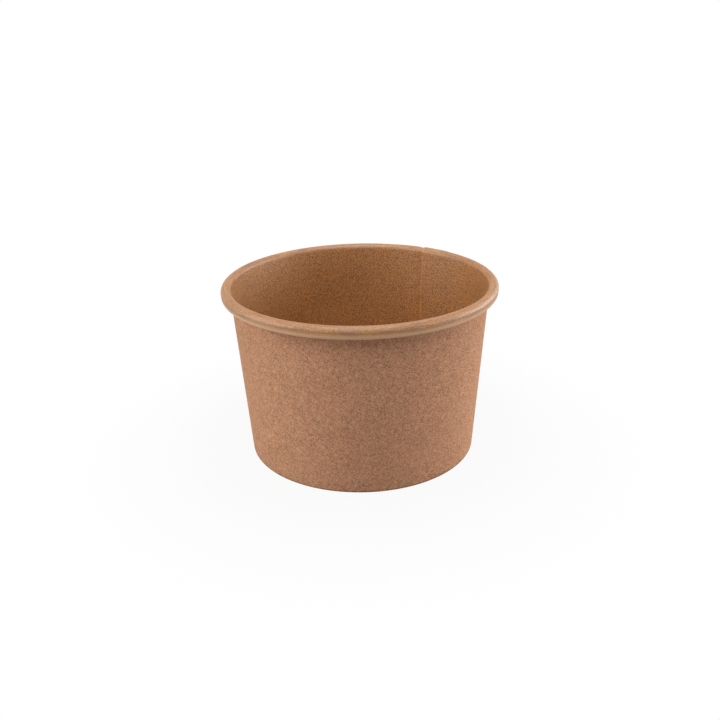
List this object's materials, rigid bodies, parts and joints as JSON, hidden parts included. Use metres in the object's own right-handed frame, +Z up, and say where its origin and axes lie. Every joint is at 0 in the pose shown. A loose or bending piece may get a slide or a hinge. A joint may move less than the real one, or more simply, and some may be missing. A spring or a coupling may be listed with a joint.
{
  "type": "paper ice cream tub",
  "caption": "Open paper ice cream tub of coated kraft board, with a rolled rim, a lapped side seam and a recessed bottom held in a folded hem.",
  "frame": {"origin": "centre of the foot, on the floor that the tub stands on", "axes": "+Z up along the tub's axis; +Y away from the front; the seam's inner cut edge lies 56.5 degrees anticlockwise from +X, seen from above"},
  "size_m": [0.09, 0.09, 0.0576],
  "materials": {
    "wall_board": "plain kraft, coated inside with a slight sheen",
    "bottom_board": "plain kraft, coated on top with a slight sheen"
  },
  "bodies": {
    "root": {"side_wall": "wall_board", "bottom_disc": "bottom_board"}
  },
  "joints": []
}
